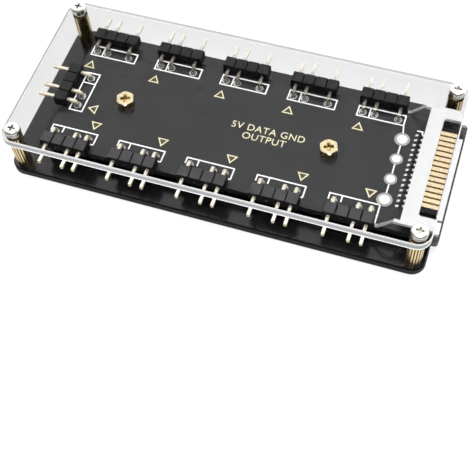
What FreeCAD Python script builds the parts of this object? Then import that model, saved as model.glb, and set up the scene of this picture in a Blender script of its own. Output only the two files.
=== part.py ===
import FreeCAD, Part
import math
import os

# Plates
plate_length = 90.0
plate_width = 40.0
plate_thickness = 2.0
plate_corner = 3.0
edge_break = 0.25

# Corner posts and M2 screws
post_inset = 2.6
post_height = 8.0
post_diameter = 3.3
post_flutes = 18
flute_depth = 0.16
screw_diameter = 2.0
thread_clearance = 0.06
hole_clearance = 0.2
screw_engagement = 3.2
pan_head_diameter = 3.5
pan_head_height = 1.3
flat_head_diameter = 3.6
recess_span = 1.6
recess_width = 0.45
recess_depth = 0.7

# Circuit board, its spacers and its hex screws
board_left_inset = 6.7
board_right_overhang = 1.3
board_front_inset = 5.2
board_rear_inset = 5.6
board_thickness = 1.6
board_corner = 0.8
spacer_height = 2.2
spacer_diameter = 4.2
hex_across_flats = 3.5
hex_head_height = 1.9
hex_turn = -10.0
hex_recess_span = 2.1
hex_recess_width = 0.75
hex_recess_depth = 1.1
board_screw_inset = 0.35
board_screw_tip = 0.4

# Pin headers
header_pitch = 2.54
header_positions = 4
key_position = 2
header_count = 5
first_pad_inset = 1.8
row_pad_inset = 8.6
left_pad_inset = 3.5
row_end_gap = 1.92
body_setback = 2.1
body_size = 2.54
groove_depth = 0.4
groove_half_width = 0.15
pin_size = 0.64
pin_reach = 8.8
pin_tail = 1.0
pin_bend = 0.35
pin_chamfer = 0.14
pin_fit = 0.02

# Solder at the pins
drill_diameter = 1.02
solder_fit = 0.02
solder_foot = 0.72
solder_top = 0.5
solder_height = 0.32

# Power pads and power connector share one centre line
power_centre_y = -0.5
power_pad_gap = 4.2
power_pad_count = 4
power_pad_pitch = 5.08
power_pad_outer = 3.2
power_pad_inner = 2.65
power_pad_shift = 0.4
power_pad_ring = 0.1
power_pad_height = 0.35
dome_share = 0.68
contact_count = 15
contact_spacing = 1.27
contact_width = 0.86
contact_gauge = 0.2
contact_length = 3.3
contact_bury = 1.6
contact_level = 3.0
contact_fit = 0.02
tail_width = 0.5
tail_level = 0.75
tail_run = 0.35
tail_length = 1.25
toe_solder_length = 0.65
toe_solder_height = 0.35
housing_setback = 0.4
housing_depth = 7.7
housing_wall = 3.1
housing_height = 3.8
housing_overhang = 0.1
arm_gap = 1.64
arm_thickness = 0.8
end_undercut = 3.0
pocket_corner = 0.6
lip_inset = 0.3
lip_level = 1.5
insert_margin = 1.1
insert_break = 0.2
tab_length = 1.2
tab_width = 0.7

# Hold-down straps
strap_run = 3.4
strap_foot_length = 0.6
strap_gauge = 0.3

# Levels above the underside of the base plate
base_top = plate_thickness
board_bottom = base_top + spacer_height
board_top = board_bottom + board_thickness
cover_bottom = base_top + post_height
cover_top = cover_bottom + plate_thickness

# Board outline, which follows the plates
board_left = -plate_length / 2 + board_left_inset
board_right = plate_length / 2 + board_right_overhang
board_front = -plate_width / 2 + board_front_inset
board_rear = plate_width / 2 - board_rear_inset

# Power connector, which follows the board's right end
housing_front = board_right - housing_setback
housing_back = housing_front - housing_depth
power_pad_x = housing_back - power_pad_gap
housing_face = housing_back + housing_wall
tail_toe = housing_back - tail_length
housing_half = (board_rear - board_front) / 2 + housing_overhang
contact_half = ((contact_count - 1) * contact_spacing + contact_width) / 2
insert_half = contact_half + insert_margin

# Places shared by several pieces
post_x = plate_length / 2 - post_inset
post_y = plate_width / 2 - post_inset
post_places = [(sx * post_x, sy * post_y) for sx in (-1, 1) for sy in (-1, 1)]
header_pins = [k for k in range(header_positions) if k != key_position]
header_span = (header_positions - 1) * header_pitch
first_pad_x = board_left + first_pad_inset
last_pad_x = power_pad_x - row_end_gap - header_span
header_spacing = (last_pad_x - first_pad_x) / (header_count - 1)
row_pad_y = plate_width / 2 - row_pad_inset
left_pad_x = board_left + left_pad_inset
row_centre_x = first_pad_x + ((header_count - 1) * header_spacing + header_span) / 2
screw_reach = (header_count - 2) * header_spacing / 2 - board_screw_inset
board_screw_places = [(row_centre_x + s * screw_reach, power_centre_y) for s in (-1, 1)]
clear_hole = screw_diameter + hole_clearance
thread_hole = screw_diameter + thread_clearance


def vec(x, y, z):
    return FreeCAD.Vector(x, y, z)


def box(x0, x1, y0, y1, z0, z1):
    return Part.makeBox(x1 - x0, y1 - y0, z1 - z0, vec(x0, y0, z0))


def rod(diameter, x, y, z0, z1):
    return Part.makeCylinder(diameter / 2, z1 - z0, vec(x, y, z0))


def polygon_face(points):
    return Part.Face(Part.makePolygon(points + [points[0]]))


def rounded_plate(x0, x1, y0, y1, z0, z1, radius):
    blank = box(x0, x1, y0, y1, z0, z1)
    uprights = [e for e in blank.Edges if abs(e.tangentAt(e.FirstParameter).z) > 0.9]
    return blank.makeFillet(radius, uprights)


def break_outline(plate, levels):
    """Chamfers the edges that lie wholly in the given horizontal planes."""
    edges = []
    for edge in plate.Edges:
        bounds = edge.BoundBox
        flat = bounds.ZLength < 1e-6
        if flat and any(abs(bounds.ZMin - level) < 1e-6 for level in levels):
            edges.append(edge)
    return plate.makeChamfer(edge_break, edges)


def revolved(profile, x, y, z):
    """Turns a closed list of (radius, height) points round an upright axis."""
    face = polygon_face([vec(r, 0, h) for r, h in profile])
    solid = face.revolve(vec(0, 0, 0), vec(0, 0, 1), 360)
    solid.translate(vec(x, y, z))
    return solid


def cross_recess(span, width, depth):
    """A cross-shaped socket, narrowing downwards from its mouth at the origin."""
    half = width / 2
    reach = span / 2
    foot = reach * 0.6
    side = [vec(-reach, -half, 0), vec(reach, -half, 0), vec(foot, -half, -depth), vec(-foot, -half, -depth)]
    blade = polygon_face(side).extrude(vec(0, width, 0))
    other = blade.copy()
    other.rotate(vec(0, 0, 0), vec(0, 0, 1), 90)
    return blade.fuse(other)


def export(shapes, node):
    if not isinstance(shapes, list):
        shapes = [shapes]
    shape = shapes[0] if len(shapes) == 1 else Part.makeCompound(shapes)
    shape.exportStep("parts/" + node + ".step")


def make_plate(z0, z1, broken):
    plate = rounded_plate(-plate_length / 2, plate_length / 2,
                          -plate_width / 2, plate_width / 2, z0, z1, plate_corner)
    return break_outline(plate, broken)


def make_base():
    plate = make_plate(0, base_top, [0, base_top])
    sink = (flat_head_diameter - clear_hole) / 2
    for x, y in post_places:
        plate = plate.cut(rod(clear_hole, x, y, 0, base_top))
        plate = plate.cut(Part.makeCone(flat_head_diameter / 2, clear_hole / 2, sink, vec(x, y, 0)))
    for x, y in board_screw_places:
        plate = plate.cut(rod(thread_hole, x, y, 0, base_top))
    return plate


def make_cover():
    plate = make_plate(cover_bottom, cover_top, [cover_bottom, cover_top])
    for x, y in post_places:
        plate = plate.cut(rod(clear_hole, x, y, cover_bottom, cover_top))
    return plate


def make_post(x, y):
    outer = post_diameter / 2
    points = []
    for i in range(post_flutes):
        for share, radius in ((-0.3, outer), (0.3, outer), (0.5, outer - flute_depth)):
            angle = 2 * math.pi * (i + share) / post_flutes
            points.append(vec(radius * math.cos(angle), radius * math.sin(angle), 0))
    post = polygon_face(points).extrude(vec(0, 0, post_height))
    post.translate(vec(x, y, base_top))
    return post.cut(rod(thread_hole, x, y, base_top, cover_bottom))


def make_cover_screw(x, y):
    head = pan_head_diameter / 2
    shank = screw_diameter / 2
    tip = -plate_thickness - screw_engagement
    profile = [(0, tip), (shank, tip), (shank, 0), (head, 0), (head, 0.62 * pan_head_height),
               (0.96 * head, 0.8 * pan_head_height), (0.86 * head, 0.94 * pan_head_height),
               (0.7 * head, pan_head_height), (0, pan_head_height)]
    screw = revolved(profile, x, y, cover_top)
    socket = cross_recess(recess_span, recess_width, recess_depth)
    socket.translate(vec(x, y, cover_top + pan_head_height))
    return screw.cut(socket)


def make_base_screw(x, y):
    head = flat_head_diameter / 2
    shank = screw_diameter / 2
    tip = plate_thickness + screw_engagement
    profile = [(0, 0), (head, 0), (shank, head - shank), (shank, tip), (0, tip)]
    screw = revolved(profile, 0, 0, 0)
    socket = cross_recess(recess_span, recess_width, recess_depth)
    socket.rotate(vec(0, 0, 0), vec(1, 0, 0), 180)
    screw = screw.cut(socket)
    screw.translate(vec(x, y, 0))
    return screw


def make_board():
    board = rounded_plate(board_left, board_right, board_front, board_rear,
                          board_bottom, board_top, board_corner)
    drills = [rod(drill_diameter, x, y, board_bottom, board_top) for x, y in pad_places()]
    drills += [rod(clear_hole, x, y, board_bottom, board_top) for x, y in board_screw_places]
    return board.cut(Part.makeCompound(drills))


def make_spacer(x, y):
    return rod(spacer_diameter, x, y, base_top, board_bottom).cut(
        rod(clear_hole, x, y, base_top, board_bottom))


def make_board_screw(x, y):
    corner = hex_across_flats / 2 / math.cos(math.pi / 6)
    points = [vec(corner * math.cos(k * math.pi / 3), corner * math.sin(k * math.pi / 3), 0)
              for k in range(6)]
    head = polygon_face(points).extrude(vec(0, 0, hex_head_height))
    crown = Part.makeCone(corner + hex_head_height * 1.6, corner * 0.86, hex_head_height * 1.02)
    shank = rod(screw_diameter, 0, 0, board_screw_tip - board_top, hex_head_height / 2)
    socket = cross_recess(hex_recess_span, hex_recess_width, hex_recess_depth)
    socket.rotate(vec(0, 0, 0), vec(0, 0, 1), 30)
    socket.translate(vec(0, 0, hex_head_height))
    screw = head.common(crown).fuse(shank).removeSplitter().cut(socket)
    screw.rotate(vec(0, 0, 0), vec(0, 0, 1), hex_turn)
    screw.translate(vec(x, y, board_top))
    return screw


def header_frames():
    """Name, turn about Z and pin-1 pad place of every header; its pins point along local +Y."""
    frames = []
    for i in range(header_count):
        x = first_pad_x + i * header_spacing
        frames.append(("rear_%d" % (i + 1), 0, x, row_pad_y))
        frames.append(("front_%d" % (i + 1), 180, x + header_span, -row_pad_y))
    frames.append(("left", 90, left_pad_x, -header_span / 2))
    return frames


def seat(shape, turn, x, y):
    shape.rotate(vec(0, 0, 0), vec(0, 0, 1), turn)
    shape.translate(vec(x, y, board_top))
    return shape


def pad_places():
    """Plan places of all header pads."""
    places = []
    for name, turn, x, y in header_frames():
        angle = math.radians(turn)
        for k in header_pins:
            step = k * header_pitch
            places.append((x + step * math.cos(angle), y + step * math.sin(angle)))
    return places


def make_header_body():
    """A strip of four chamfered blocks with V grooves between them, bored for square pins."""
    half = header_pitch / 2
    lower = []
    for k in range(header_positions):
        x = k * header_pitch
        lower += [vec(x - half, body_setback, groove_depth),
                  vec(x - half + groove_half_width, body_setback, 0),
                  vec(x + half - groove_half_width, body_setback, 0)]
    lower.append(vec(header_span + half, body_setback, groove_depth))
    upper = [vec(p.x, p.y, body_size - p.z) for p in reversed(lower)]
    body = polygon_face(lower + upper).extrude(vec(0, body_size, 0))
    bore = (pin_size + pin_fit) / 2
    axis = body_size / 2
    for k in range(header_positions):
        x = k * header_pitch
        body = body.cut(box(x - bore, x + bore, body_setback, body_setback + body_size,
                            axis - bore, axis + bore))
    return body


def make_pin(x):
    """A square pin lying along +Y that bends down through the board, pointed at both ends."""
    half = pin_size / 2
    axis = body_size / 2
    foot = -board_thickness - pin_tail
    inner = pin_bend
    outer = pin_bend + pin_size
    mid = math.sqrt(0.5)
    hub_y = half + inner
    hub_z = axis - half - inner
    top_start = vec(0, hub_y, hub_z + outer)
    top_mid = vec(0, hub_y - outer * mid, hub_z + outer * mid)
    top_end = vec(0, -half, hub_z)
    low_start = vec(0, half, hub_z)
    low_mid = vec(0, hub_y - inner * mid, hub_z + inner * mid)
    low_end = vec(0, hub_y, axis - half)
    tip_high = vec(0, pin_reach, axis + half)
    tip_low = vec(0, pin_reach, axis - half)
    foot_back = vec(0, -half, foot)
    foot_front = vec(0, half, foot)
    edges = [Part.LineSegment(tip_high, top_start).toShape(),
             Part.Arc(top_start, top_mid, top_end).toShape(),
             Part.LineSegment(top_end, foot_back).toShape(),
             Part.LineSegment(foot_back, foot_front).toShape(),
             Part.LineSegment(foot_front, low_start).toShape(),
             Part.Arc(low_start, low_mid, low_end).toShape(),
             Part.LineSegment(low_end, tip_low).toShape(),
             Part.LineSegment(tip_low, tip_high).toShape()]
    pin = Part.Face(Part.Wire(edges)).extrude(vec(pin_size, 0, 0))
    ends = [e for e in pin.Edges if e.BoundBox.YMin > pin_reach - 1e-6 or e.BoundBox.ZMax < foot + 1e-6]
    pin = pin.makeChamfer(pin_chamfer, ends)
    pin.translate(vec(x - half, 0, 0))
    return pin


def make_joint(x):
    """Solder filling the drilled hole round a pin, with a fillet above and below the board."""
    barrel = (drill_diameter - solder_fit) / 2
    low = -board_thickness
    profile = [(0, low - solder_height), (solder_top, low - solder_height), (solder_foot, low),
               (barrel, low), (barrel, 0), (solder_foot, 0), (solder_top, solder_height),
               (0, solder_height)]
    joint = revolved(profile, x, 0, 0)
    half = (pin_size + pin_fit) / 2
    return joint.cut(box(x - half, x + half, -half, half, low - 2 * solder_height, 2 * solder_height))


def make_power_pads():
    """Flat tinned rings, each with a low dome of solder on it."""
    pads = []
    rise = power_pad_height - power_pad_ring
    for k in range(power_pad_count):
        y = power_centre_y - power_pad_shift + (k - (power_pad_count - 1) / 2) * power_pad_pitch
        radius = (power_pad_outer if k in (0, power_pad_count - 1) else power_pad_inner) / 2
        dome = dome_share * radius
        profile = [(0, 0), (radius, 0), (radius, power_pad_ring), (dome, power_pad_ring),
                   (0.93 * dome, power_pad_ring + 0.4 * rise), (0.75 * dome, power_pad_ring + 0.75 * rise),
                   (0.45 * dome, power_pad_ring + 0.95 * rise), (0, power_pad_height)]
        pads.append(revolved(profile, power_pad_x, y, board_top))
    return pads


def contact_places():
    middle = (contact_count - 1) / 2
    return [power_centre_y + (k - middle) * contact_spacing for k in range(contact_count)]


def contact_bars(y, fit):
    """The straight bars of one contact inside the connector, grown all round by fit."""
    top = board_top + contact_level
    level = board_top + tail_level
    heel = housing_face - contact_bury
    wide = contact_width / 2 + fit
    slim = tail_width / 2 + fit
    blade = box(heel - fit, housing_face + contact_length, y - wide, y + wide,
                top - contact_gauge - fit, top + fit)
    web = box(heel - fit, heel + contact_gauge + fit, y - slim, y + slim,
              level - contact_gauge - fit, top)
    shelf = box(housing_back - tail_run, heel + contact_gauge, y - slim, y + slim,
                level - contact_gauge - fit, level + fit)
    return [blade, web, shelf]


def make_contact(y):
    """One contact: blade on the tongue, web and shelf in the wall, gull-wing tail to the board."""
    blade, web, shelf = contact_bars(y, 0)
    level = board_top + tail_level
    shoulder = housing_back - tail_run
    landing = shoulder - tail_run
    half = contact_gauge / 2
    outline = [(shoulder, level), (shoulder, level - contact_gauge), (landing, board_top),
               (tail_toe, board_top), (tail_toe, board_top + contact_gauge),
               (landing - half, board_top + contact_gauge), (shoulder - half, level)]
    start = y - tail_width / 2
    foot = polygon_face([vec(x, start, z) for x, z in outline]).extrude(vec(0, tail_width, 0))
    return blade.fuse([web, shelf, foot]).removeSplitter()


def contact_slots():
    slots = []
    for y in contact_places():
        slots += contact_bars(y, contact_fit)
    return slots


def side_box(x0, x1, inner, outer, z0, z1, side):
    """A box at one end of the connector, between two distances from its centre line."""
    ends = (power_centre_y + side * inner, power_centre_y + side * outer)
    return box(x0, x1, min(ends), max(ends), z0, z1)


def make_guide():
    """Top plate of the connector: a bar with two arms round a pocket with rounded inner corners."""
    top = board_top + housing_height
    reach = insert_half + arm_gap
    plate = box(housing_back, housing_front, power_centre_y - housing_half,
                power_centre_y + housing_half, top - arm_thickness, top)
    pocket = rounded_plate(housing_face, 2 * housing_front - housing_face, power_centre_y - reach,
                           power_centre_y + reach, top - arm_thickness, top, pocket_corner)
    return plate.cut(pocket)


def make_housing():
    """Back wall under the arms' top plate, a low lip under the contacts, and two end tabs."""
    top = board_top + housing_height
    lip = insert_half - lip_inset
    wall = housing_half - end_undercut
    body = box(housing_back, housing_face, power_centre_y - wall, power_centre_y + wall, board_top, top)
    pieces = [make_guide(), box(housing_face, housing_front, power_centre_y - lip, power_centre_y + lip,
                                board_top, board_top + lip_level)]
    for side in (-1, 1):
        pieces.append(side_box(housing_back - tab_length, housing_back, housing_half - tab_width,
                               housing_half, top - arm_thickness, top, side))
    return body.fuse(pieces).removeSplitter().cut(contact_slots())


def make_insert():
    """Block standing on the lip and carrying the contact blades, broken along its end edges."""
    low = board_top + lip_level
    high = board_top + contact_level - contact_gauge / 2
    start = power_centre_y - insert_half
    end = power_centre_y + insert_half
    outline = [(start, low), (end, low), (end, high - insert_break), (end - insert_break, high),
               (start + insert_break, high), (start, high - insert_break)]
    profile = polygon_face([vec(housing_face, y, z) for y, z in outline])
    return profile.extrude(vec(contact_length, 0, 0)).cut(contact_slots())


def make_toe_solder(y):
    outline = [(0, 0), (0, toe_solder_height), (-0.45 * toe_solder_length, 0.85 * toe_solder_height),
               (-0.85 * toe_solder_length, 0.4 * toe_solder_height), (-toe_solder_length, 0)]
    half = tail_width / 2
    face = polygon_face([vec(tail_toe + x, y - half, board_top + z) for x, z in outline])
    return face.extrude(vec(0, tail_width, 0))


def make_strap(side):
    """A bent strip from a foot on the board up to the end tab of the housing."""
    end_x = housing_back - tab_length
    end_z = board_top + housing_height - arm_thickness / 2 + strap_gauge / 2
    foot_start = end_x - strap_run
    foot_end = foot_start + strap_foot_length
    outline = [(foot_start, board_top), (foot_end, board_top), (end_x, end_z - strap_gauge),
               (end_x, end_z), (foot_end - strap_gauge / 2, board_top + strap_gauge),
               (foot_start, board_top + strap_gauge)]
    middle = power_centre_y + side * (housing_half - tab_width / 2)
    start = middle - tab_width / 2
    return polygon_face([vec(x, start, z) for x, z in outline]).extrude(vec(0, tab_width, 0))


os.makedirs("parts", exist_ok=True)
export(make_base(), "base_plate")
export(make_cover(), "top_cover")
export(make_board(), "circuit_board")
for (x, y), corner in zip(post_places, ("front_left", "rear_left", "front_right", "rear_right")):
    export(make_post(x, y), "post_" + corner)
export([make_cover_screw(x, y) for x, y in post_places], "cover_screws")
export([make_base_screw(x, y) for x, y in post_places], "base_screws")
export([make_spacer(x, y) for x, y in board_screw_places], "board_spacers")
export([make_board_screw(x, y) for x, y in board_screw_places], "board_screws")

body = make_header_body()
pins = [make_pin(k * header_pitch) for k in header_pins]
joints = [make_joint(k * header_pitch) for k in header_pins]
solder = {"rear": [], "front": [], "left": []}
for name, turn, x, y in header_frames():
    export(seat(body.copy(), turn, x, y), "header_" + name)
    export([seat(pin.copy(), turn, x, y) for pin in pins], "pins_" + name)
    solder[name.split("_")[0]] += [seat(joint.copy(), turn, x, y) for joint in joints]
for row, shapes in solder.items():
    export(shapes, "solder_" + row)

export(make_power_pads(), "power_pads")
export(make_housing(), "power_housing")
export(make_insert(), "power_insert")
export([make_contact(y) for y in contact_places()], "power_contacts")
export([make_toe_solder(y) for y in contact_places()], "contact_solder")
export(make_strap(-1), "strap_front")
export(make_strap(1), "strap_rear")
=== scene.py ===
import math

import bpy
import numpy as np
from bpy.props import FloatProperty, FloatVectorProperty, PointerProperty, StringProperty
from mathutils import Matrix, Vector


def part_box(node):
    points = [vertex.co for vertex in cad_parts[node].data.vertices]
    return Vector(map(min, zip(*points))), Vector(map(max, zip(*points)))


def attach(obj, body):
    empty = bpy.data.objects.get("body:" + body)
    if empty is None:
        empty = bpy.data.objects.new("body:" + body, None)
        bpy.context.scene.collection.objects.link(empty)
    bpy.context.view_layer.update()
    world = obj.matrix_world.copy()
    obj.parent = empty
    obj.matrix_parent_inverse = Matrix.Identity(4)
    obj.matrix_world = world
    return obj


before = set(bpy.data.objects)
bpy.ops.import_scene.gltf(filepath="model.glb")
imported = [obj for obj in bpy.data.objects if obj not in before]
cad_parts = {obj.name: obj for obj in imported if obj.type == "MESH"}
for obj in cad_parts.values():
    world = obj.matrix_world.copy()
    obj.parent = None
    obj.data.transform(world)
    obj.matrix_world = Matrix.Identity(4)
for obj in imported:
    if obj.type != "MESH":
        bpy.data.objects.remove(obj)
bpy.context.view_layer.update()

bl_info = {
    "name": "Lighting hub dresser",
    "version": (1, 0, 0),
    "blender": (4, 5, 0),
    "location": "View3D > Sidebar > Hub",
    "description": "Finishes the solids of a lighting hub and adds its printed marks and studio",
    "category": "Object",
}

MM = 0.001
PER_MM = 1000.0
BOARD_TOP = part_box("circuit_board")[1].z

# Headers in a row, their pitch, and the filled ones of a header's four positions
HEADERS = 5
HEADER_PITCH = 2.54 * MM
HEADER_SPAN = 3 * HEADER_PITCH
FILLED = (0, 1, 3)
# Height above the board up to which a front pin's leg is painted shade
PIN_LEG_SHADE = 0.9 * MM

# Depth of the inlet's housing, and of the tin-coloured shelf of a contact behind it, which is a painted
# highlight on the contact's bend
HOUSING_DEPTH = 7.7 * MM
TAIL_HIGHLIGHT = 0.5 * MM

# Flutes round a post, the cross socket of a cover screw, which is painted shade, and the top face of a
# board screw, below which its brass is painted shade
POST_FLUTES = 18
SOCKET_REACH = 0.95 * MM
SOCKET_DEPTH = 0.12 * MM
HEX_FACE = 0.3 * MM

# Height of the grey ring round a power pad's dome
PAD_RING_HEIGHT = 0.12 * MM
# Radii of a header pad's ring, and the width of its shoulder as a share of its height
RING_INNER = 0.6 * MM
RING_OUTER = 0.84 * MM
RING_SHOULDER = 0.3

# Grains of a surface's broad mottle, as a share of its fine ones
BROAD_SHARE = 0.17
# Painted shade on upright faces, given as a tint, and their roughness
HEADER_SIDE_SHADE = ((0.15, 0.15, 0.15), 0.7)
FRONT_HEADER_SIDE_SHADE = ((0.06, 0.06, 0.06), 0.7)
PIN_SIDE_SHADE = ((0.8, 0.75, 0.64), 0.3)
CONTACT_SIDE_SHADE = ((0.32, 0.24, 0.12), 0.4)
# Upright part of the normal at which a face stops being a side and starts being a top
SIDE_END = 0.7
TOP_START = 0.92

# Clear acrylic: how it bends light, and the range of its polished faces' roughness
ACRYLIC_IOR = 1.49
HAZE = (0.004, 0.012)
# Its sawn edges: colour, roughness range, share of light that passes, and how far up their foot has painted
# glow
SAWN_EDGE = (0.8, 0.81, 0.82)
SAWN_ROUGH = (0.25, 0.4)
MILKY_SHARE = 0.6
FOOT_GLOW = (0.4 * MM, 0.65 * MM)
# Painted glow of an edge's corners and of the rest, and the upright part of the normal over which each fades
CORNER_GLOW = 0.36
EDGE_GLOW = 0.08
CORNER_FADE = (0.3, 0.7)
EDGE_FADE = (0.85, 0.98)

# Printed box of a rear header, from its first pad and its row
REAR_LEFT = 1.05 * MM
REAR_RIGHT = 9.3 * MM
REAR_LAST_RIGHT = 9.0 * MM
REAR_NEAR = 1.15 * MM
REAR_FAR = 1.4 * MM
REAR_BAR = 1.5 * MM

# Printed line round a front header, from its first pad and its row
FRONT_LEFT = 1.22 * MM
FRONT_RIGHT = 9.03 * MM
FRONT_TOP = 1.45 * MM
FRONT_FOOT = 1.25 * MM
FRONT_LAST_FOOT = 2.9 * MM
FRONT_TOE = 0.65 * MM
FRONT_BAR = 1.38 * MM
FRONT_BAR_END = 0.1 * MM

# Printed box of the left header, from its end pads and its row
LEFT_END = 1.4 * MM
LEFT_NEAR = 1.35 * MM
LEFT_FAR = 1.55 * MM
LEFT_BAR = 1.35 * MM

# Printed line of the inlet, from its pads and its contact tails
PAD_LINE_END = 1 * MM
TAIL_LINE_START = 0.2 * MM
TAIL_LINE_REACH = 0.7 * MM
TAIL_LINE_RISE = 1.1 * MM
TAIL_LINE_FOOT = 0.2 * MM

# Pin marks: how far along from a header's first pad, and their places across the board
REAR_MARK = (0.03 * MM, 7.62 * MM)
FRONT_MARK = (7.62 * MM, -7.95 * MM)
FRONT_LAST_MARK = 6.5 * MM
LEFT_MARK_X = -31.33 * MM
# Share of a mark's size that its stroke's middle and its fill have, and of the film that the fill has
STROKE_SHARE = 0.83
FILL_SHARE = 0.75
FILL_FILM = 0.3

# Places of the legend's lines, the spacing of its letters and the steps of their curves
UPPER_PLACE = (6.85 * MM, 0.85 * MM)
LOWER_PLACE = (6.55 * MM, -1.35 * MM)
LETTER_SPACING = 1.08
LETTER_STEPS = 6

# Studio: the lamp, the floor's grid and its drop below the base, and how far from a mirror its glow returns
LAMP_PLACE = (0.05, -0.12, 0.62)
LAMP_SIZE = 0.3
LAMP_POWER = 4.0
FLOOR_LINES = 9
FLOOR_DROP = 0.02 * MM
CLOSE_MIRROR = (3 * MM, 6 * MM)
# Height and depth of a direction at which the lit wall fades out and in
WALL_TOP = (0.9, 0.97)
WALL_FRONT = (-0.05, 0.3)
SENSOR_WIDTH = 36.0
NEAREST_SEEN = 0.01


def middle(node):
    """Centre of a CAD node's box."""
    low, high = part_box(node)
    return (low + high) / 2


def first_pad(index):
    """X of the leftmost pad of rear or front header number index, counted from 0."""
    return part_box("header_rear_%d" % (index + 1))[0].x + HEADER_PITCH / 2


def colour_prop(name, text, value):
    """A colour that a user can change."""
    return FloatVectorProperty(name=name, description=text, default=value, size=3,
                               min=0.0, max=1.0, subtype="COLOR")


def length_prop(name, text, value):
    """A length that a user can change."""
    return FloatProperty(name=name, description=text, default=value, min=0.0,
                         precision=5, unit="LENGTH", subtype="DISTANCE")


class HubFinish(bpy.types.PropertyGroup):
    """Colours of the hub's materials."""
    base_black: colour_prop("Base plate", "Gloss black acrylic", (0.003, 0.003, 0.0032))
    cover_clear: colour_prop("Cover", "Tint of the clear acrylic", (0.822, 0.823, 0.825))
    # Strength of the painted glow on the cover's sawn edges
    painted_glow: FloatProperty(name="Edge light", description="Light piped to the cover's edges", default=2.3)
    board_black: colour_prop("Board", "Black solder mask", (0.0165, 0.0165, 0.0171))
    header_black: colour_prop("Headers", "Black header plastic", (0.02, 0.02, 0.0205))
    # Painted light: a paler copy of the header black for the front headers' tops
    front_painted_light: colour_prop("Front headers", "Paler tops of the front headers", (0.05, 0.05, 0.051))
    spacer_black: colour_prop("Spacers", "Black nylon", (0.03, 0.03, 0.03))
    insert_black: colour_prop("Contact insert", "Ends of the power inlet's tongue", (0.008, 0.008, 0.008))
    # Painted reflection: the tongue between the contacts is brown with their gold
    insert_gold_reflection: colour_prop("Contact gaps", "Tongue between the contacts", (0.075, 0.045, 0.008))
    housing_white: colour_prop("Housing", "White inlet plastic", (0.55, 0.552, 0.55))
    post_brass: colour_prop("Posts", "Knurled brass", (0.78, 0.61, 0.34))
    hex_brass: colour_prop("Board screws", "Bright brass", (0.95, 0.83, 0.53))
    brass_dark: colour_prop("Brass in shade", "Sides and sockets of the board screws", (0.5, 0.38, 0.19))
    screw_nickel: colour_prop("Cover screws", "Nickel plate", (0.66, 0.64, 0.59))
    pin_gold: colour_prop("Pins", "Flash gold plate", (0.86, 0.79, 0.65))
    # Painted shade: a darker copy of the pin gold for the rear row
    rear_gold_shaded: colour_prop("Rear pins", "Duller plate of the rear row", (0.66, 0.63, 0.55))
    # Painted shade on the pins' legs near the board
    pin_shade: colour_prop("Pin legs", "Pin plate dulled by flux at the board", (0.26, 0.24, 0.2))
    contact_gold: colour_prop("Contacts", "Contact gold plate", (0.92, 0.73, 0.48))
    # Painted shade on the contact tails between the joints
    tail_shade: colour_prop("Contact tails", "Tails dulled by flux between the joints", (0.05, 0.045, 0.04))
    solder_tin: colour_prop("Solder", "Bright tin", (0.9, 0.9, 0.89))
    pad_white: colour_prop("Pad domes", "Solder on a power pad", (0.9, 0.9, 0.87))
    pad_grey: colour_prop("Pad rings", "Tinned ring of a power pad", (0.34, 0.34, 0.32))
    strap_steel: colour_prop("Straps", "Satin steel", (0.36, 0.36, 0.37))
    print_white: colour_prop("Print", "White board ink", (0.92, 0.92, 0.91))
    mark_gold: colour_prop("Marks", "Bare gold on the board", (0.98, 0.88, 0.6))
    mark_olive: colour_prop("Mark fill", "Bare laminate inside a mark", (0.035, 0.027, 0.004))


class HubPrint(bpy.types.PropertyGroup):
    """Sizes of the marks on the board."""
    line: length_prop("Line width", "Width of a printed line", 0.27 * MM)
    film: length_prop("Film", "Height of the ink above the board", 0.03 * MM)
    mark_width: length_prop("Mark width", "Base of a pin mark", 2.5 * MM)
    mark_height: length_prop("Mark height", "Height of a pin mark", 2.05 * MM)
    mark_stroke: length_prop("Mark stroke", "Stroke of a pin mark", 0.24 * MM)
    letter: length_prop("Letter size", "Type size of the legend", 2.3 * MM)
    legend_upper: StringProperty(name="Upper legend", description="Pin order, first line",
                                 default="5V DATA GND")
    legend_lower: StringProperty(name="Lower legend", description="Pin order, second line",
                                 default="OUTPUT")


class HubStudio(bpy.types.PropertyGroup):
    """Floor, light and camera."""
    floor_size: length_prop("Floor", "Side of the floor", 8.0)
    floor_colour: colour_prop("Floor colour", "Pale floor", (0.25, 0.25, 0.25))
    floor_glow: FloatProperty(name="Floor glow", description="Light added by the floor", default=0.72)
    sky: FloatProperty(name="Sky", description="Strength of the even studio light", default=0.06)
    wall: FloatProperty(name="Rear wall", description="Strength of the lit wall behind", default=1.95)
    azimuth: FloatProperty(name="Azimuth", description="Camera's turn about Z",
                           default=math.radians(23.46), subtype="ANGLE")
    elevation: FloatProperty(name="Elevation", description="Camera's height above the horizon",
                             default=math.radians(59.81), subtype="ANGLE")
    roll: FloatProperty(name="Roll", description="Camera's turn about its own axis",
                        default=math.radians(-5.91), subtype="ANGLE")
    distance: length_prop("Distance", "Camera to target", 182.25 * MM)
    target: FloatVectorProperty(name="Target", description="Point at the middle of the picture",
                                default=(7.89 * MM, -23.46 * MM, 5.8 * MM), subtype="XYZ", unit="LENGTH")
    lens: FloatProperty(name="Lens", description="Focal length in millimetres", default=70.13)


def nodes_of(name):
    """A fresh material with its node tree, Principled shader and output."""
    mat = bpy.data.materials.new(name)
    mat.use_nodes = True
    tree = mat.node_tree
    tree.nodes.clear()
    out = tree.nodes.new("ShaderNodeOutputMaterial")
    shader = tree.nodes.new("ShaderNodeBsdfPrincipled")
    tree.links.new(shader.outputs["BSDF"], out.inputs["Surface"])
    return mat, tree, shader, out


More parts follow.
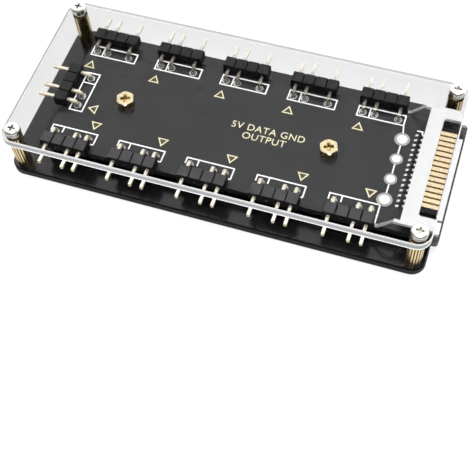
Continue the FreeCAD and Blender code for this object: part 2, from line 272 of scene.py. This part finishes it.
def add_node(tree, kind, links=(), **settings):
    """Adds a node; settings fill its properties or named inputs, links are (input, output socket)."""
    node = tree.nodes.new(kind)
    for key, value in settings.items():
        if hasattr(node, key):
            setattr(node, key, value)
        else:
            node.inputs[key.replace("_", " ")].default_value = value
    for key, socket in links:
        tree.links.new(socket, node.inputs[key])
    return node


def feed(tree, node, values):
    """Fills a node's inputs in order; each value is an output socket or a plain number or vector."""
    for socket, value in zip(node.inputs, values):
        if isinstance(value, bpy.types.NodeSocket):
            tree.links.new(value, socket)
        else:
            socket.default_value = value
    return node.outputs


def maths(tree, operation, *values):
    """Result of one operation on numbers."""
    return feed(tree, add_node(tree, "ShaderNodeMath", operation=operation), values)[0]


def vectors(tree, operation, *values):
    """Results of one operation on vectors, the vector first and then the number."""
    return feed(tree, add_node(tree, "ShaderNodeVectorMath", operation=operation), values)


def mixed(tree, share, first, second):
    """Two shaders mixed, with share as the second one's part."""
    return feed(tree, add_node(tree, "ShaderNodeMixShader"), (share, first, second))[0]


def millimetres(tree, stretch=(1, 1, 1)):
    """Object coordinates in millimetres, stretched per axis."""
    where = add_node(tree, "ShaderNodeTexCoord").outputs["Object"]
    scale = tuple(PER_MM * s for s in stretch)
    return add_node(tree, "ShaderNodeMapping", [("Vector", where)], Scale=scale).outputs[0]


def along(tree, vector, axis):
    """One axis of a vector."""
    return add_node(tree, "ShaderNodeSeparateXYZ", [("Vector", vector)]).outputs[axis]


def noise(tree, place, scale, detail=3.0):
    """Noise from 0 to 1, mostly between 0.3 and 0.7."""
    return add_node(tree, "ShaderNodeTexNoise", [("Vector", place)],
                    Scale=scale, Detail=detail, Roughness=0.6).outputs["Fac"]


def spread(tree, value, low, high, start=0.3, end=0.7):
    """Value, which lies mostly between start and end, carried to the range low to high."""
    node = add_node(tree, "ShaderNodeMapRange", [("Value", value)])
    for name, number in (("From Min", start), ("From Max", end), ("To Min", low), ("To Max", high)):
        node.inputs[name].default_value = number
    return node.outputs["Result"]


def ramp(tree, value, *stops):
    """A colour that runs between two stops, each (place, colour)."""
    node = add_node(tree, "ShaderNodeValToRGB", [("Fac", value)])
    for element, (place, colour) in zip(node.color_ramp.elements, stops):
        element.position = place
        element.color = (*colour, 1.0)
    return node.outputs["Color"]


def shades(tree, value, colour, low, high, start=0.3, end=0.7):
    """A colour that runs from low to high times the given one as value rises."""
    dark, light = ([min(1.0, c * share) for c in colour] for share in (low, high))
    return ramp(tree, value, (start, dark), (end, light))


def banded(tree, axis, steps, last, centre=None):
    """Colours that change along an axis, or with the distance from a centre: each step (place, colour) gives
    its colour up to its place, and last gives the rest."""
    where = along(tree, millimetres(tree), axis)
    if centre is not None:
        where = maths(tree, "ABSOLUTE", maths(tree, "SUBTRACT", where, centre * PER_MM))
    places = [place * PER_MM for place, _ in steps]
    margin = 1.0
    start = places[0] - margin
    reach = places[-1] + margin - start
    share = spread(tree, where, 0.0, 1.0, start, start + reach)
    node = add_node(tree, "ShaderNodeValToRGB", [("Fac", share)])
    stops = node.color_ramp
    stops.interpolation = "CONSTANT"
    stops.elements.remove(stops.elements[1])
    stops.elements[0].color = (*steps[0][1], 1.0)
    for place, colour in zip(places, [colour for _, colour in steps[1:]] + [last]):
        stops.elements.new((place - start) / reach).color = (*colour, 1.0)
    return node.outputs["Color"]


def levelness(tree):
    """1 on faces that lie level and 0 on upright ones: the size of the normal's upright part."""
    facing = add_node(tree, "ShaderNodeNewGeometry").outputs["Normal"]
    return maths(tree, "ABSOLUTE", along(tree, facing, "Z"))


def relief(tree, height, depth, strength=0.5):
    """Normal of a surface that height raises by up to depth."""
    return add_node(tree, "ShaderNodeBump", [("Height", height)],
                    Distance=depth, Strength=strength).outputs["Normal"]


def grained(name, colour, rough, metal=0.0, grain=4.0, depth=0.01 * MM, mottle=0.12,
            stretch=(1, 1, 1), rough_spread=0.08, strength=0.4, gloss=0.5, band=None, sides=None):
    """A material whose colour, roughness and height follow noise of the given grains per millimetre; a band
    (axis, steps) gives other colours to what lies below places along an axis, or with a centre as its third
    value nearer to it than them; sides (tint, roughness) paints shade on upright faces with the tint and
    makes them matt."""
    mat, tree, shader, _ = nodes_of(name)
    place = millimetres(tree, stretch)
    fine = noise(tree, place, grain)
    broad = noise(tree, place, grain * BROAD_SHARE, 2.0)
    link = tree.links.new
    if band:
        hue = banded(tree, *band[:2], colour, *band[2:])
    else:
        hue = shades(tree, broad, colour, 1 - mottle, 1 + mottle)
    matt = spread(tree, fine, rough - rough_spread, rough + rough_spread)
    # Painted shade: upright faces are darkened by the tint
    if sides:
        tint, side_rough = sides
        level = levelness(tree)
        shade = ramp(tree, level, (SIDE_END, tint), (TOP_START, (1.0, 1.0, 1.0)))
        hue = vectors(tree, "MULTIPLY", hue, shade)[0]
        extra = spread(tree, level, side_rough - rough, 0.0, SIDE_END, TOP_START)
        matt = maths(tree, "ADD", matt, extra)
    link(hue, shader.inputs["Base Color"])
    link(matt, shader.inputs["Roughness"])
    link(relief(tree, fine, depth, strength), shader.inputs["Normal"])
    shader.inputs["Metallic"].default_value = metal
    shader.inputs["Specular IOR Level"].default_value = gloss
    return mat


def from_axis(tree, place, centre):
    """Place measured from the nearest of four upright axes, which are centre and its mirror images."""
    fold = vectors(tree, "ABSOLUTE", place)[0]
    return vectors(tree, "SUBTRACT", fold, (centre.x * PER_MM, centre.y * PER_MM, 0))[0]


def turned(name, colour, rough, centre, socket):
    """Metal with fine turning rings: a sine of the distance from the nearest screw axis; a socket
    (reach, height) is painted shade: what lies within reach of the axis and below the height is darkened."""
    mat, tree, shader, _ = nodes_of(name)
    place = millimetres(tree)
    flat = vectors(tree, "MULTIPLY", from_axis(tree, place, centre), (1, 1, 0))[0]
    rings = add_node(tree, "ShaderNodeTexWave", [("Vector", flat)], wave_type="RINGS",
                     rings_direction="SPHERICAL", Scale=2.2, Distortion=0.6).outputs["Fac"]
    grain = noise(tree, place, 5.0)
    shade, blur = 0.7, 0.02
    reach, height = (length * PER_MM for length in socket)
    away = vectors(tree, "LENGTH", flat)["Value"]
    outside = spread(tree, away, shade, 1.0, reach - blur, reach + blur)
    over = spread(tree, along(tree, place, "Z"), shade, 1.0, height - blur, height + blur)
    lit = maths(tree, "MAXIMUM", outside, over)
    hue = vectors(tree, "MULTIPLY", shades(tree, grain, colour, 0.9, 1.06), lit)[0]
    link = tree.links.new
    link(hue, shader.inputs["Base Color"])
    link(spread(tree, rings, rough - 0.04, rough + 0.08, 0, 1), shader.inputs["Roughness"])
    link(relief(tree, rings, 0.01 * MM, 0.25), shader.inputs["Normal"])
    shader.inputs["Metallic"].default_value = 1.0
    return mat


def knurled(name, colour, rough, centre, flutes):
    """Knurled brass with painted shade in its flutes: a cosine of the turn about the nearest post's axis is
    highest on the ridges."""
    mat, tree, shader, _ = nodes_of(name)
    apart = from_axis(tree, millimetres(tree), centre)
    turn = maths(tree, "ARCTAN2", along(tree, apart, "Y"), along(tree, apart, "X"))
    ridge = maths(tree, "COSINE", maths(tree, "MULTIPLY", turn, flutes))
    # Painted shade: the flutes are darker than the ridges
    ridge_lit = spread(tree, ridge, 0.0, 1.0, -0.7, 0.3)
    grain = noise(tree, millimetres(tree, (1, 1, 0.05)), 3.0)
    link = tree.links.new
    link(shades(tree, ridge_lit, colour, 0.18, 1.0, 0.0, 1.0), shader.inputs["Base Color"])
    link(spread(tree, grain, rough - 0.06, rough + 0.06), shader.inputs["Roughness"])
    link(relief(tree, grain, 0.01 * MM, 0.5), shader.inputs["Normal"])
    shader.inputs["Metallic"].default_value = 1.0
    return mat


def clear_sheet(name, colour, painted_glow, underside):
    """Clear acrylic: polished faces that only bend light, and sawn edges with a painted glow that stands in
    for light carried along the sheet, brightest on their broken corners and, seen from outside, along their
    foot; the upright part of the normal tells faces, corners and edges apart."""
    mat, tree, shader, out = nodes_of(name)
    level = levelness(tree)
    height = along(tree, millimetres(tree), "Z")
    foot = spread(tree, height, 1.0, 0.0, *((underside + rise) * PER_MM for rise in FOOT_GLOW))
    inside = add_node(tree, "ShaderNodeNewGeometry").outputs["Backfacing"]
    foot = maths(tree, "MULTIPLY", foot, spread(tree, inside, 1.0, 0.0, 0.0, 1.0))
    corner = spread(tree, level, 0.0, CORNER_GLOW, *CORNER_FADE)
    bright = maths(tree, "MAXIMUM", foot, corner)
    smear = noise(tree, millimetres(tree), 0.12, 4.0)
    haze = spread(tree, smear, *HAZE)
    bend = add_node(tree, "ShaderNodeBsdfRefraction", [("Roughness", haze)], IOR=ACRYLIC_IOR,
                    Color=(*colour, 1.0))
    sawn = noise(tree, millimetres(tree, (0.3, 0.3, 1)), 4.0)
    link = tree.links.new
    link(shades(tree, sawn, SAWN_EDGE, 0.9, 1.05), shader.inputs["Base Color"])
    link(spread(tree, sawn, *SAWN_ROUGH), shader.inputs["Roughness"])
    shader.inputs["Emission Color"].default_value = (1.0, 1.0, 1.0, 1.0)
    # Painted glow: emission on the sawn edges, their corners and their foot
    link(spread(tree, bright, EDGE_GLOW, painted_glow, 0.0, 1.0), shader.inputs["Emission Strength"])
    milky = add_node(tree, "ShaderNodeBsdfTranslucent", Color=(*SAWN_EDGE, 1.0))
    frost = mixed(tree, MILKY_SHARE, shader.outputs[0], milky.outputs[0])
    edge = spread(tree, level, 1.0, 0.0, *EDGE_FADE)
    sheet = mixed(tree, edge, bend.outputs[0], frost)
    path = add_node(tree, "ShaderNodeLightPath").outputs
    open_way = add_node(tree, "ShaderNodeBsdfTransparent").outputs[0]
    link(mixed(tree, path["Is Shadow Ray"], sheet, open_way), out.inputs["Surface"])
    return mat


def masked_board(name, colour):
    """Solder mask: a faint woven-glass ripple of two crossed sines under a satin film with fine speckle."""
    mat, tree, shader, _ = nodes_of(name)
    place = millimetres(tree)
    weave = [add_node(tree, "ShaderNodeTexWave", [("Vector", place)], bands_direction=axis,
                      Scale=0.55, Distortion=0.8, Detail=1.0).outputs["Fac"] for axis in "XY"]
    speckle = noise(tree, place, 9.0)
    broad = noise(tree, place, 0.09, 2.0)
    height = maths(tree, "ADD", maths(tree, "MULTIPLY", *weave), speckle)
    link = tree.links.new
    link(shades(tree, broad, colour, 0.93, 1.06), shader.inputs["Base Color"])
    link(spread(tree, speckle, 0.2, 0.28), shader.inputs["Roughness"])
    link(relief(tree, height, 0.004 * MM, 0.12), shader.inputs["Normal"])
    return mat


def dress(material, *names):
    """Puts a material on every CAD node whose name starts with one of the names."""
    found = [o for n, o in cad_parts.items() if n.startswith(names)]
    if not found:
        raise RuntimeError("no CAD node starts with " + ", ".join(names))
    for piece in found:
        for holder in piece.material_slots:
            holder.material = material


def join_hub(name, mesh, material):
    """Gives a mesh its material, and an object at the origin that rides on the hub."""
    mesh.materials.clear()
    mesh.materials.append(material)
    piece = bpy.data.objects.new(name, mesh)
    bpy.context.scene.collection.objects.link(piece)
    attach(piece, "root")


def add_piece(name, parts, material):
    """A new piece made of several (points, faces) meshes."""
    points, faces, shift = [], [], 0
    for part_points, part_faces in parts:
        points.append(part_points)
        faces += [[i + shift for i in face] for face in part_faces]
        shift += len(part_points)
    mesh = bpy.data.meshes.new(name)
    mesh.from_pydata(np.concatenate(points).tolist(), [], faces)
    mesh.validate()
    mesh.update()
    join_hub(name, mesh, material)


def film_range(sizes):
    """Lowest and highest level of the ink, which is half sunk into the board."""
    return BOARD_TOP - sizes.film, BOARD_TOP + sizes.film


def band_faces(count, closed):
    """Quads between count rings of four points each, the last joined to the first if closed."""
    i = np.arange(count if closed else count - 1)[:, None]
    j = np.arange(4)[None, :]
    k, m = (i + 1) % count, (j + 1) % 4
    return np.stack([i * 4 + j, k * 4 + j, k * 4 + m, i * 4 + m], -1).reshape(-1, 4).tolist()


def ribbon(path, width, low, high, closed=False):
    """An upright-sided strip along a flat path: at each path point the rectangle of the given width, from low
    to high, is set across the mean of the two neighbouring runs and widened there by one over the cosine of
    half the turn."""
    path = np.asarray(path, float)
    count = len(path)
    runs = np.roll(path, -1, 0) - path
    runs /= np.maximum(np.linalg.norm(runs, axis=1, keepdims=True), 1e-12)
    before = np.roll(runs, 1, 0)
    if not closed:
        before[0] = runs[0]
        runs[-1] = before[-1]
    across = np.stack([-runs[:, 1], runs[:, 0]], 1)
    across_before = np.stack([-before[:, 1], before[:, 0]], 1)
    mitre = (across + across_before) / (1 + (across * across_before).sum(1, keepdims=True))
    left = path + mitre * width / 2
    right = path - mitre * width / 2
    rings = np.zeros((count, 4, 3))
    rings[:, 0, :2], rings[:, 1, :2] = right, right
    rings[:, 2, :2], rings[:, 3, :2] = left, left
    rings[:, (0, 3), 2] = low
    rings[:, (1, 2), 2] = high
    faces = band_faces(count, closed)
    if not closed:
        faces += [(0, 1, 2, 3), [4 * (count - 1) + n for n in (3, 2, 1, 0)]]
    return rings.reshape(-1, 3), faces


def plate(corners, low, high):
    """A flat plate: the closed outline of corners, counted anticlockwise, raised from low to high."""
    corners = np.asarray(corners, float)
    n = len(corners)
    points = np.concatenate([np.c_[corners, np.full(n, low)], np.c_[corners, np.full(n, high)]])
    i = np.arange(n)
    sides = np.stack([i, (i + 1) % n, (i + 1) % n + n, i + n], 1)
    return points, sides.tolist() + [range(n - 1, -1, -1), range(n, 2 * n)]


def ring(x, y, inner, outer, low, high, steps=48):
    """A flat ring with a sloping outer shoulder: four profile points (radius, height) turned about an upright
    axis."""
    turn = np.linspace(0, 2 * math.pi, steps, endpoint=False)[:, None]
    radius = np.array([inner, outer, outer - RING_SHOULDER * (high - low), inner])[None, :]
    height = np.array([low, low, high, high])[None, :] + 0 * turn
    points = np.stack([x + radius * np.cos(turn), y + radius * np.sin(turn), height], -1).reshape(-1, 3)
    return points, band_faces(steps, True)


class HUB_OT_plates(bpy.types.Operator):
    """Finish the base plate and the clear cover"""
    bl_idname = "hub.plates"
    bl_label = "Plates"

    def execute(self, context):
        tone = context.scene.hub_finish
        dress(grained("base_gloss", tone.base_black, rough=0.19, grain=1.6, depth=0.001 * MM, mottle=0.2,
                      rough_spread=0.03, strength=0.04), "base_plate")
        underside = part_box("top_cover")[0].z
        dress(clear_sheet("cover_acrylic", tone.cover_clear, tone.painted_glow, underside), "top_cover")
        return {"FINISHED"}


class HUB_OT_fixings(bpy.types.Operator):
    """Finish the posts, screws and spacers"""
    bl_idname = "hub.fixings"
    bl_label = "Posts and screws"

    def execute(self, context):
        tone = context.scene.hub_finish
        corner = middle("post_rear_right")
        dress(knurled("post_knurl", tone.post_brass, 0.24, corner, POST_FLUTES), "post_")
        # Cover screws: their cross sockets are painted shade
        socket = (SOCKET_REACH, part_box("cover_screws")[1].z - SOCKET_DEPTH)
        dress(turned("nickel_turned", tone.screw_nickel, 0.25, corner, socket), "cover_screws", "base_screws")
        # Board screws: below their top face the brass is painted shade
        hex_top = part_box("board_screws")[1].z
        dress(grained("brass_bright", tone.hex_brass, rough=0.25, metal=1.0, depth=0.003 * MM, mottle=0.07,
                      band=("Z", [(hex_top - HEX_FACE, tone.brass_dark)])), "board_screws")
        dress(grained("nylon_black", tone.spacer_black, rough=0.5, grain=5.0), "board_spacers")
        return {"FINISHED"}


class HUB_OT_board(bpy.types.Operator):
    """Finish the circuit board and the solder on it"""
    bl_idname = "hub.board"
    bl_label = "Board and solder"

    def execute(self, context):
        tone = context.scene.hub_finish
        dress(masked_board("solder_mask", tone.board_black), "circuit_board")
        dress(grained("solder_bright", tone.solder_tin, rough=0.22, metal=1.0, grain=3.0, mottle=0.06),
              "solder_", "contact_solder")
        dress(grained("pad_solder", tone.pad_white, rough=0.45, metal=0.3, grain=3.0, mottle=0.06,
                      band=("Z", [(BOARD_TOP + PAD_RING_HEIGHT, tone.pad_grey)])), "power_pads")
        return {"FINISHED"}


class HUB_OT_headers(bpy.types.Operator):
    """Finish the pin headers"""
    bl_idname = "hub.headers"
    bl_label = "Headers and pins"

    def execute(self, context):
        tone = context.scene.hub_finish
        moulded = dict(rough=0.4, grain=7.0, depth=0.004 * MM, mottle=0.08, gloss=0.15)
        dress(grained("header_moulded", tone.header_black, sides=HEADER_SIDE_SHADE, **moulded),
              "header_rear", "header_left")
        # The front headers take a paler copy of the plastic, which is painted light
        dress(grained("front_painted_light_moulded", tone.front_painted_light, sides=FRONT_HEADER_SIDE_SHADE, **moulded), "header_front")
        plated = dict(rough=0.25, metal=0.75, grain=5.0, depth=0.005 * MM)
        leg_shade = [(BOARD_TOP + PIN_LEG_SHADE, tone.pin_shade)]
        dress(grained("pin_plate", tone.pin_gold, band=("Z", leg_shade), sides=PIN_SIDE_SHADE, **plated),
              "pins_front", "pins_left")
        # Rear pins: a darker copy of the pin gold, which is painted shade, with painted shade on their legs
        rear_leg_shade = [(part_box("header_rear_1")[0].y, tone.pin_shade)]
        dress(grained("rear_pin_shaded_plate", tone.rear_gold_shaded, band=("Y", rear_leg_shade), **plated), "pins_rear")
        return {"FINISHED"}


class HUB_OT_inlet(bpy.types.Operator):
    """Finish the power inlet"""
    bl_idname = "hub.inlet"
    bl_label = "Power inlet"

    def execute(self, context):
        tone = context.scene.hub_finish
        dress(grained("inlet_white", tone.housing_white, rough=0.4, grain=6.0, depth=0.006 * MM, mottle=0.02),
              "power_housing")
        low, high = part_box("power_contacts")
        # Painted reflection of the contacts' gold on the tongue between them
        gold_reflection = [((high.y - low.y) / 2, tone.insert_gold_reflection)]
        dress(grained("insert_dark", tone.insert_black, rough=0.5, grain=6.0, gloss=0.2,
                      band=("Y", gold_reflection, (low.y + high.y) / 2)), "power_insert")
        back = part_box("power_housing")[1].x - HOUSING_DEPTH
        # Contact tails: painted shade, with a painted highlight on the tin-coloured shelf next to the housing
        tails = [(back - TAIL_HIGHLIGHT, tone.tail_shade), (back, tone.solder_tin)]
        dress(grained("contact_plate", tone.contact_gold, rough=0.28, metal=0.9, depth=0.003 * MM,
                      mottle=0.05, band=("X", tails), sides=CONTACT_SIDE_SHADE), "power_contacts")
        dress(grained("strap_satin", tone.strap_steel, rough=0.5, metal=0.3, grain=5.0, depth=0.003 * MM,
                      mottle=0.08, stretch=(0.15, 1, 1)), "strap_")
        return {"FINISHED"}


class HUB_OT_print(bpy.types.Operator):
    """Print the white outlines round the headers and pads"""
    bl_idname = "hub.print_lines"
    bl_label = "Printed outlines"

    def execute(self, context):
        sizes = context.scene.hub_print
        ink = grained("board_ink", context.scene.hub_finish.print_white, rough=0.55, grain=8.0, mottle=0.05)
        rear_y, front_y = middle("solder_rear").y, middle("solder_front").y
        rear, front = [], []
        for i in range(HEADERS):
            rear += self.rear_outline(i, rear_y)
            front += self.front_outline(i, front_y)
        drawn = {"print_rear": rear, "print_front": front,
                 "print_left": self.left_outline(middle("solder_left").x),
                 "print_power": self.power_lines(rear_y, front_y)}
        for name, paths in drawn.items():
            add_piece(name, [ribbon(path, sizes.line, *film_range(sizes), shut) for path, shut in paths], ink)
        return {"FINISHED"}

    def rear_outline(self, index, row):
        """A closed box round a rear header's pads, and a bar after its first pad."""
        pad = first_pad(index)
        left = pad - REAR_LEFT
        right = pad + (REAR_LAST_RIGHT if index == HEADERS - 1 else REAR_RIGHT)
        near, far, bar = row - REAR_NEAR, row + REAR_FAR, pad + REAR_BAR
        return [([(left, near), (right, near), (right, far), (left, far)], True),
                ([(bar, near), (bar, far)], False)]

    def front_outline(self, index, row):
        """A line round a front header's pads, a toe at its end, and a bar after its first pad."""
        pad = first_pad(index)
        left, right, top = pad - FRONT_LEFT, pad + FRONT_RIGHT, row + FRONT_TOP
        foot, bar = row - FRONT_FOOT, pad + FRONT_BAR
        end = row - FRONT_LAST_FOOT if index == HEADERS - 1 else foot
        return [([(left, row), (left, top), (right, top), (right, end)], False),
                ([(right, foot), (right - FRONT_TOE, foot)], False),
                ([(bar, top), (bar, row - FRONT_BAR_END)], False)]

    def left_outline(self, row):
        """A closed box round the left header's pads, and a bar before its last pad."""
        half = HEADER_SPAN / 2 + LEFT_END
        near, far, bar = row - LEFT_NEAR, row + LEFT_FAR, HEADER_SPAN / 2 - LEFT_BAR
        return [([(near, -half), (far, -half), (far, half), (near, half)], True),
                ([(near, bar), (far, bar)], False)]

    def power_lines(self, rear_y, front_y):
        """A line through the power pads to the last headers, and a hook at the rear of the contact tails."""
        low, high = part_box("power_pads")
        pad_x = (low.x + high.x) / 2
        fifth = first_pad(HEADERS - 1) + FRONT_RIGHT
        tail_low, tail_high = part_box("contact_solder")
        start, end = tail_low.x + TAIL_LINE_START, tail_high.x + TAIL_LINE_REACH
        rise, foot = tail_high.y + TAIL_LINE_RISE, tail_high.y + TAIL_LINE_FOOT
        return [([(fifth, rear_y - REAR_NEAR), (pad_x, high.y - PAD_LINE_END), (pad_x, low.y + PAD_LINE_END),
                  (fifth, front_y + FRONT_TOP)], False),
                ([(start, rise), (end, rise), (end, foot)], False)]


class HUB_OT_marks(bpy.types.Operator):
    """Set the gold pin marks and the pin legend into the board"""
    bl_idname = "hub.marks"
    bl_label = "Pin marks and legend"

    def execute(self, context):
        sizes = context.scene.hub_print
        tone = context.scene.hub_finish
        gold = grained("mark_plate", tone.mark_gold, rough=0.36, metal=0.75, grain=7.0, depth=0.006 * MM,
                       mottle=0.06)
        olive = grained("bare_laminate", tone.mark_olive, rough=0.6, grain=6.0, mottle=0.15)
        low, high = film_range(sizes)
        half, rise = sizes.mark_width / 2, sizes.mark_height / 2
        shape = np.array([(-half, -rise), (half, -rise), (0, rise)])
        marks = []
        for i in range(HEADERS):
            pad = first_pad(i)
            shift = FRONT_LAST_MARK if i == HEADERS - 1 else FRONT_MARK[0]
            marks += [((pad + REAR_MARK[0], REAR_MARK[1]), 0), ((pad + shift, FRONT_MARK[1]), 180)]
        marks.append(((LEFT_MARK_X, -HEADER_SPAN / 2), 90))
        outlines, fills = [], []
        for place, turn in marks:
            c, s = math.cos(math.radians(turn)), math.sin(math.radians(turn))
            corners = shape @ np.array([(c, s), (-s, c)]) + np.array(place)
            centre = corners.mean(0)
            stroke = centre + (corners - centre) * STROKE_SHARE
            outlines.append(ribbon(stroke, sizes.mark_stroke, low, high, True))
            fill = centre + (corners - centre) * FILL_SHARE
            fills.append(plate(fill, low, BOARD_TOP + FILL_FILM * sizes.film))
        add_piece("pin_marks", outlines, gold)
        add_piece("pin_mark_fills", fills, olive)
        self.legend("legend_upper", sizes.legend_upper, UPPER_PLACE, sizes, gold)
        self.legend("legend_lower", sizes.legend_lower, LOWER_PLACE, sizes, gold)
        return {"FINISHED"}

    def legend(self, name, words, place, sizes, material):
        """Raised letters: a type outline filled and raised by the film height, centred on place."""
        type_curve = bpy.data.curves.new(name, "FONT")
        type_curve.body = words
        type_curve.size = sizes.letter
        type_curve.extrude = sizes.film
        type_curve.space_character = LETTER_SPACING
        type_curve.align_x = "CENTER"
        type_curve.align_y = "CENTER"
        type_curve.resolution_u = LETTER_STEPS
        holder = bpy.data.objects.new(name + "_type", type_curve)
        bpy.context.scene.collection.objects.link(holder)
        bpy.context.view_layer.update()
        shown = holder.evaluated_get(bpy.context.evaluated_depsgraph_get())
        mesh = bpy.data.meshes.new_from_object(shown)
        bpy.data.objects.remove(holder)
        mesh.transform(Matrix.Translation((*place, BOARD_TOP)))
        mesh.name = name
        join_hub(name, mesh, material)


class HUB_OT_rims(bpy.types.Operator):
    """Lay bare tinned rings round the pads of the rear and left headers"""
    bl_idname = "hub.rims"
    bl_label = "Pad rings"

    def execute(self, context):
        sizes = context.scene.hub_print
        tone = context.scene.hub_finish
        tin = grained("rim_tin", tone.solder_tin, rough=0.34, metal=1.0, grain=5.0, mottle=0.1)
        rear_y, left_x = middle("solder_rear").y, middle("solder_left").x
        pads = [(first_pad(i) + k * HEADER_PITCH, rear_y) for i in range(HEADERS) for k in FILLED]
        pads += [(left_x, k * HEADER_PITCH - HEADER_SPAN / 2) for k in FILLED]
        rings = [ring(x, y, RING_INNER, RING_OUTER, *film_range(sizes)) for x, y in pads]
        add_piece("header_pad_rings", rings, tin)
        return {"FINISHED"}


class HUB_OT_studio(bpy.types.Operator):
    """Set up the floor, the soft lights and the camera"""
    bl_idname = "hub.studio"
    bl_label = "Studio"

    def execute(self, context):
        scene = context.scene
        studio = scene.hub_studio
        scene.view_settings.view_transform = "Standard"
        self.floor(scene, studio)
        self.sky(scene, studio)
        self.softbox(scene)
        self.camera(scene, studio)
        return {"FINISHED"}

    def floor(self, scene, studio):
        """A level square grid just under the base plate."""
        steps = np.linspace(-0.5, 0.5, FLOOR_LINES) * studio.floor_size
        x, y = np.meshgrid(steps, steps, indexing="ij")
        points = np.stack([x, y, np.full_like(x, -FLOOR_DROP)], -1).reshape(-1, 3)
        n = FLOOR_LINES
        corner = (np.arange(n - 1)[:, None] * n + np.arange(n - 1)[None, :]).ravel()
        faces = np.stack([corner, corner + n, corner + n + 1, corner + 1], 1)
        mesh = bpy.data.meshes.new("studio_floor")
        mesh.from_pydata(points.tolist(), [], faces.tolist())
        mesh.materials.append(self.paper(studio))
        floor = bpy.data.objects.new("studio_floor", mesh)
        scene.collection.objects.link(floor)

    def paper(self, studio):
        """Pale paper with a glow, which is kept from other surfaces' light and from close mirror images."""
        mat = grained("floor_paper", studio.floor_colour, rough=0.7, grain=0.4, mottle=0.01)
        tree = mat.node_tree
        shader = next(n for n in tree.nodes if n.type == "BSDF_PRINCIPLED")
        shader.inputs["Emission Color"].default_value = (1, 1, 1, 1)
        path = add_node(tree, "ShaderNodeLightPath").outputs
        mirrored = maths(tree, "SUBTRACT", path["Is Glossy Ray"], path["Is Transmission Ray"])
        near = spread(tree, path["Ray Length"], 1.0, 0.0, *CLOSE_MIRROR)
        bounced = maths(tree, "MAXIMUM", path["Is Diffuse Ray"], maths(tree, "MULTIPLY", mirrored, near))
        glow = spread(tree, bounced, studio.floor_glow, 0.0, 0.0, 1.0)
        tree.links.new(glow, shader.inputs["Emission Strength"])
        return mat

    def sky(self, scene, studio):
        """Even light with a brighter wall behind; the camera itself sees plain white."""
        world = bpy.data.worlds.new("studio_sky")
        scene.world = world
        world.use_nodes = True
        tree = world.node_tree
        tree.nodes.clear()
        out = add_node(tree, "ShaderNodeOutputWorld")
        way = add_node(tree, "ShaderNodeTexCoord").outputs["Generated"]
        below = spread(tree, along(tree, way, "Z"), 1.0, 0.0, *WALL_TOP)
        behind = spread(tree, along(tree, way, "Y"), 0.0, 1.0, *WALL_FRONT)
        lit = maths(tree, "MULTIPLY", below, behind)
        glow = spread(tree, lit, studio.sky, studio.sky + studio.wall, 0.0, 1.0)
        even = add_node(tree, "ShaderNodeBackground", [("Strength", glow)], Color=(1, 1, 1, 1))
        seen = add_node(tree, "ShaderNodeBackground", Color=(1, 1, 1, 1), Strength=1.0)
        path = add_node(tree, "ShaderNodeLightPath").outputs
        light = mixed(tree, path["Is Camera Ray"], even.outputs[0], seen.outputs[0])
        tree.links.new(light, out.inputs["Surface"])

    def softbox(self, scene):
        """A square lamp that points at the hub."""
        lamp = bpy.data.lights.new("fill", "AREA")
        lamp.shape = "SQUARE"
        lamp.size = LAMP_SIZE
        lamp.energy = LAMP_POWER
        holder = bpy.data.objects.new("fill", lamp)
        holder.location = LAMP_PLACE
        holder.rotation_euler = Vector(LAMP_PLACE).to_track_quat("Z", "Y").to_euler()
        scene.collection.objects.link(holder)

    def camera(self, scene, studio):
        """Camera on a sphere round the target, turned about its own axis by the roll."""
        back = Vector((math.sin(studio.azimuth) * math.cos(studio.elevation),
                       -math.cos(studio.azimuth) * math.cos(studio.elevation), math.sin(studio.elevation)))
        right = Vector((0, 0, 1)).cross(back).normalized()
        up = back.cross(right)
        c, s = math.cos(studio.roll), math.sin(studio.roll)
        axes = Matrix((c * right + s * up, c * up - s * right, back)).transposed()
        lens = bpy.data.cameras.new("hub_camera")
        lens.lens = studio.lens
        lens.sensor_width = SENSOR_WIDTH
        lens.sensor_fit = "HORIZONTAL"
        lens.clip_start = NEAREST_SEEN
        holder = bpy.data.objects.new("hub_camera", lens)
        place = Vector(studio.target) + back * studio.distance
        holder.matrix_world = Matrix.Translation(place) @ axes.to_4x4()
        scene.collection.objects.link(holder)
        scene.camera = holder


STEPS = (HUB_OT_plates, HUB_OT_fixings, HUB_OT_board, HUB_OT_headers, HUB_OT_inlet, HUB_OT_print,
         HUB_OT_marks, HUB_OT_rims, HUB_OT_studio)


class HUB_PT_panel(bpy.types.Panel):
    """Lists the dressing steps"""
    bl_idname = "HUB_PT_panel"
    bl_label = "Lighting hub"
    bl_space_type = "VIEW_3D"
    bl_region_type = "UI"
    bl_category = "Hub"

    def draw(self, context):
        for step in STEPS:
            self.layout.operator(step.bl_idname)


GROUPS = {"hub_finish": HubFinish, "hub_print": HubPrint, "hub_studio": HubStudio}


def register():
    """Adds the classes, and the groups of settings to the scene."""
    for cls in (*GROUPS.values(), *STEPS, HUB_PT_panel):
        bpy.utils.register_class(cls)
    for name, cls in GROUPS.items():
        setattr(bpy.types.Scene, name, PointerProperty(type=cls))


def unregister():
    """Takes away what register adds."""
    for name in GROUPS:
        delattr(bpy.types.Scene, name)
    for cls in (HUB_PT_panel, *reversed(STEPS), *GROUPS.values()):
        bpy.utils.unregister_class(cls)


def main():
    """Runs every step."""
    register()
    bpy.ops.hub.plates()
    bpy.ops.hub.fixings()
    bpy.ops.hub.board()
    bpy.ops.hub.headers()
    bpy.ops.hub.inlet()
    bpy.ops.hub.print_lines()
    bpy.ops.hub.marks()
    bpy.ops.hub.rims()
    bpy.ops.hub.studio()


if __name__ == "__main__":
    main()
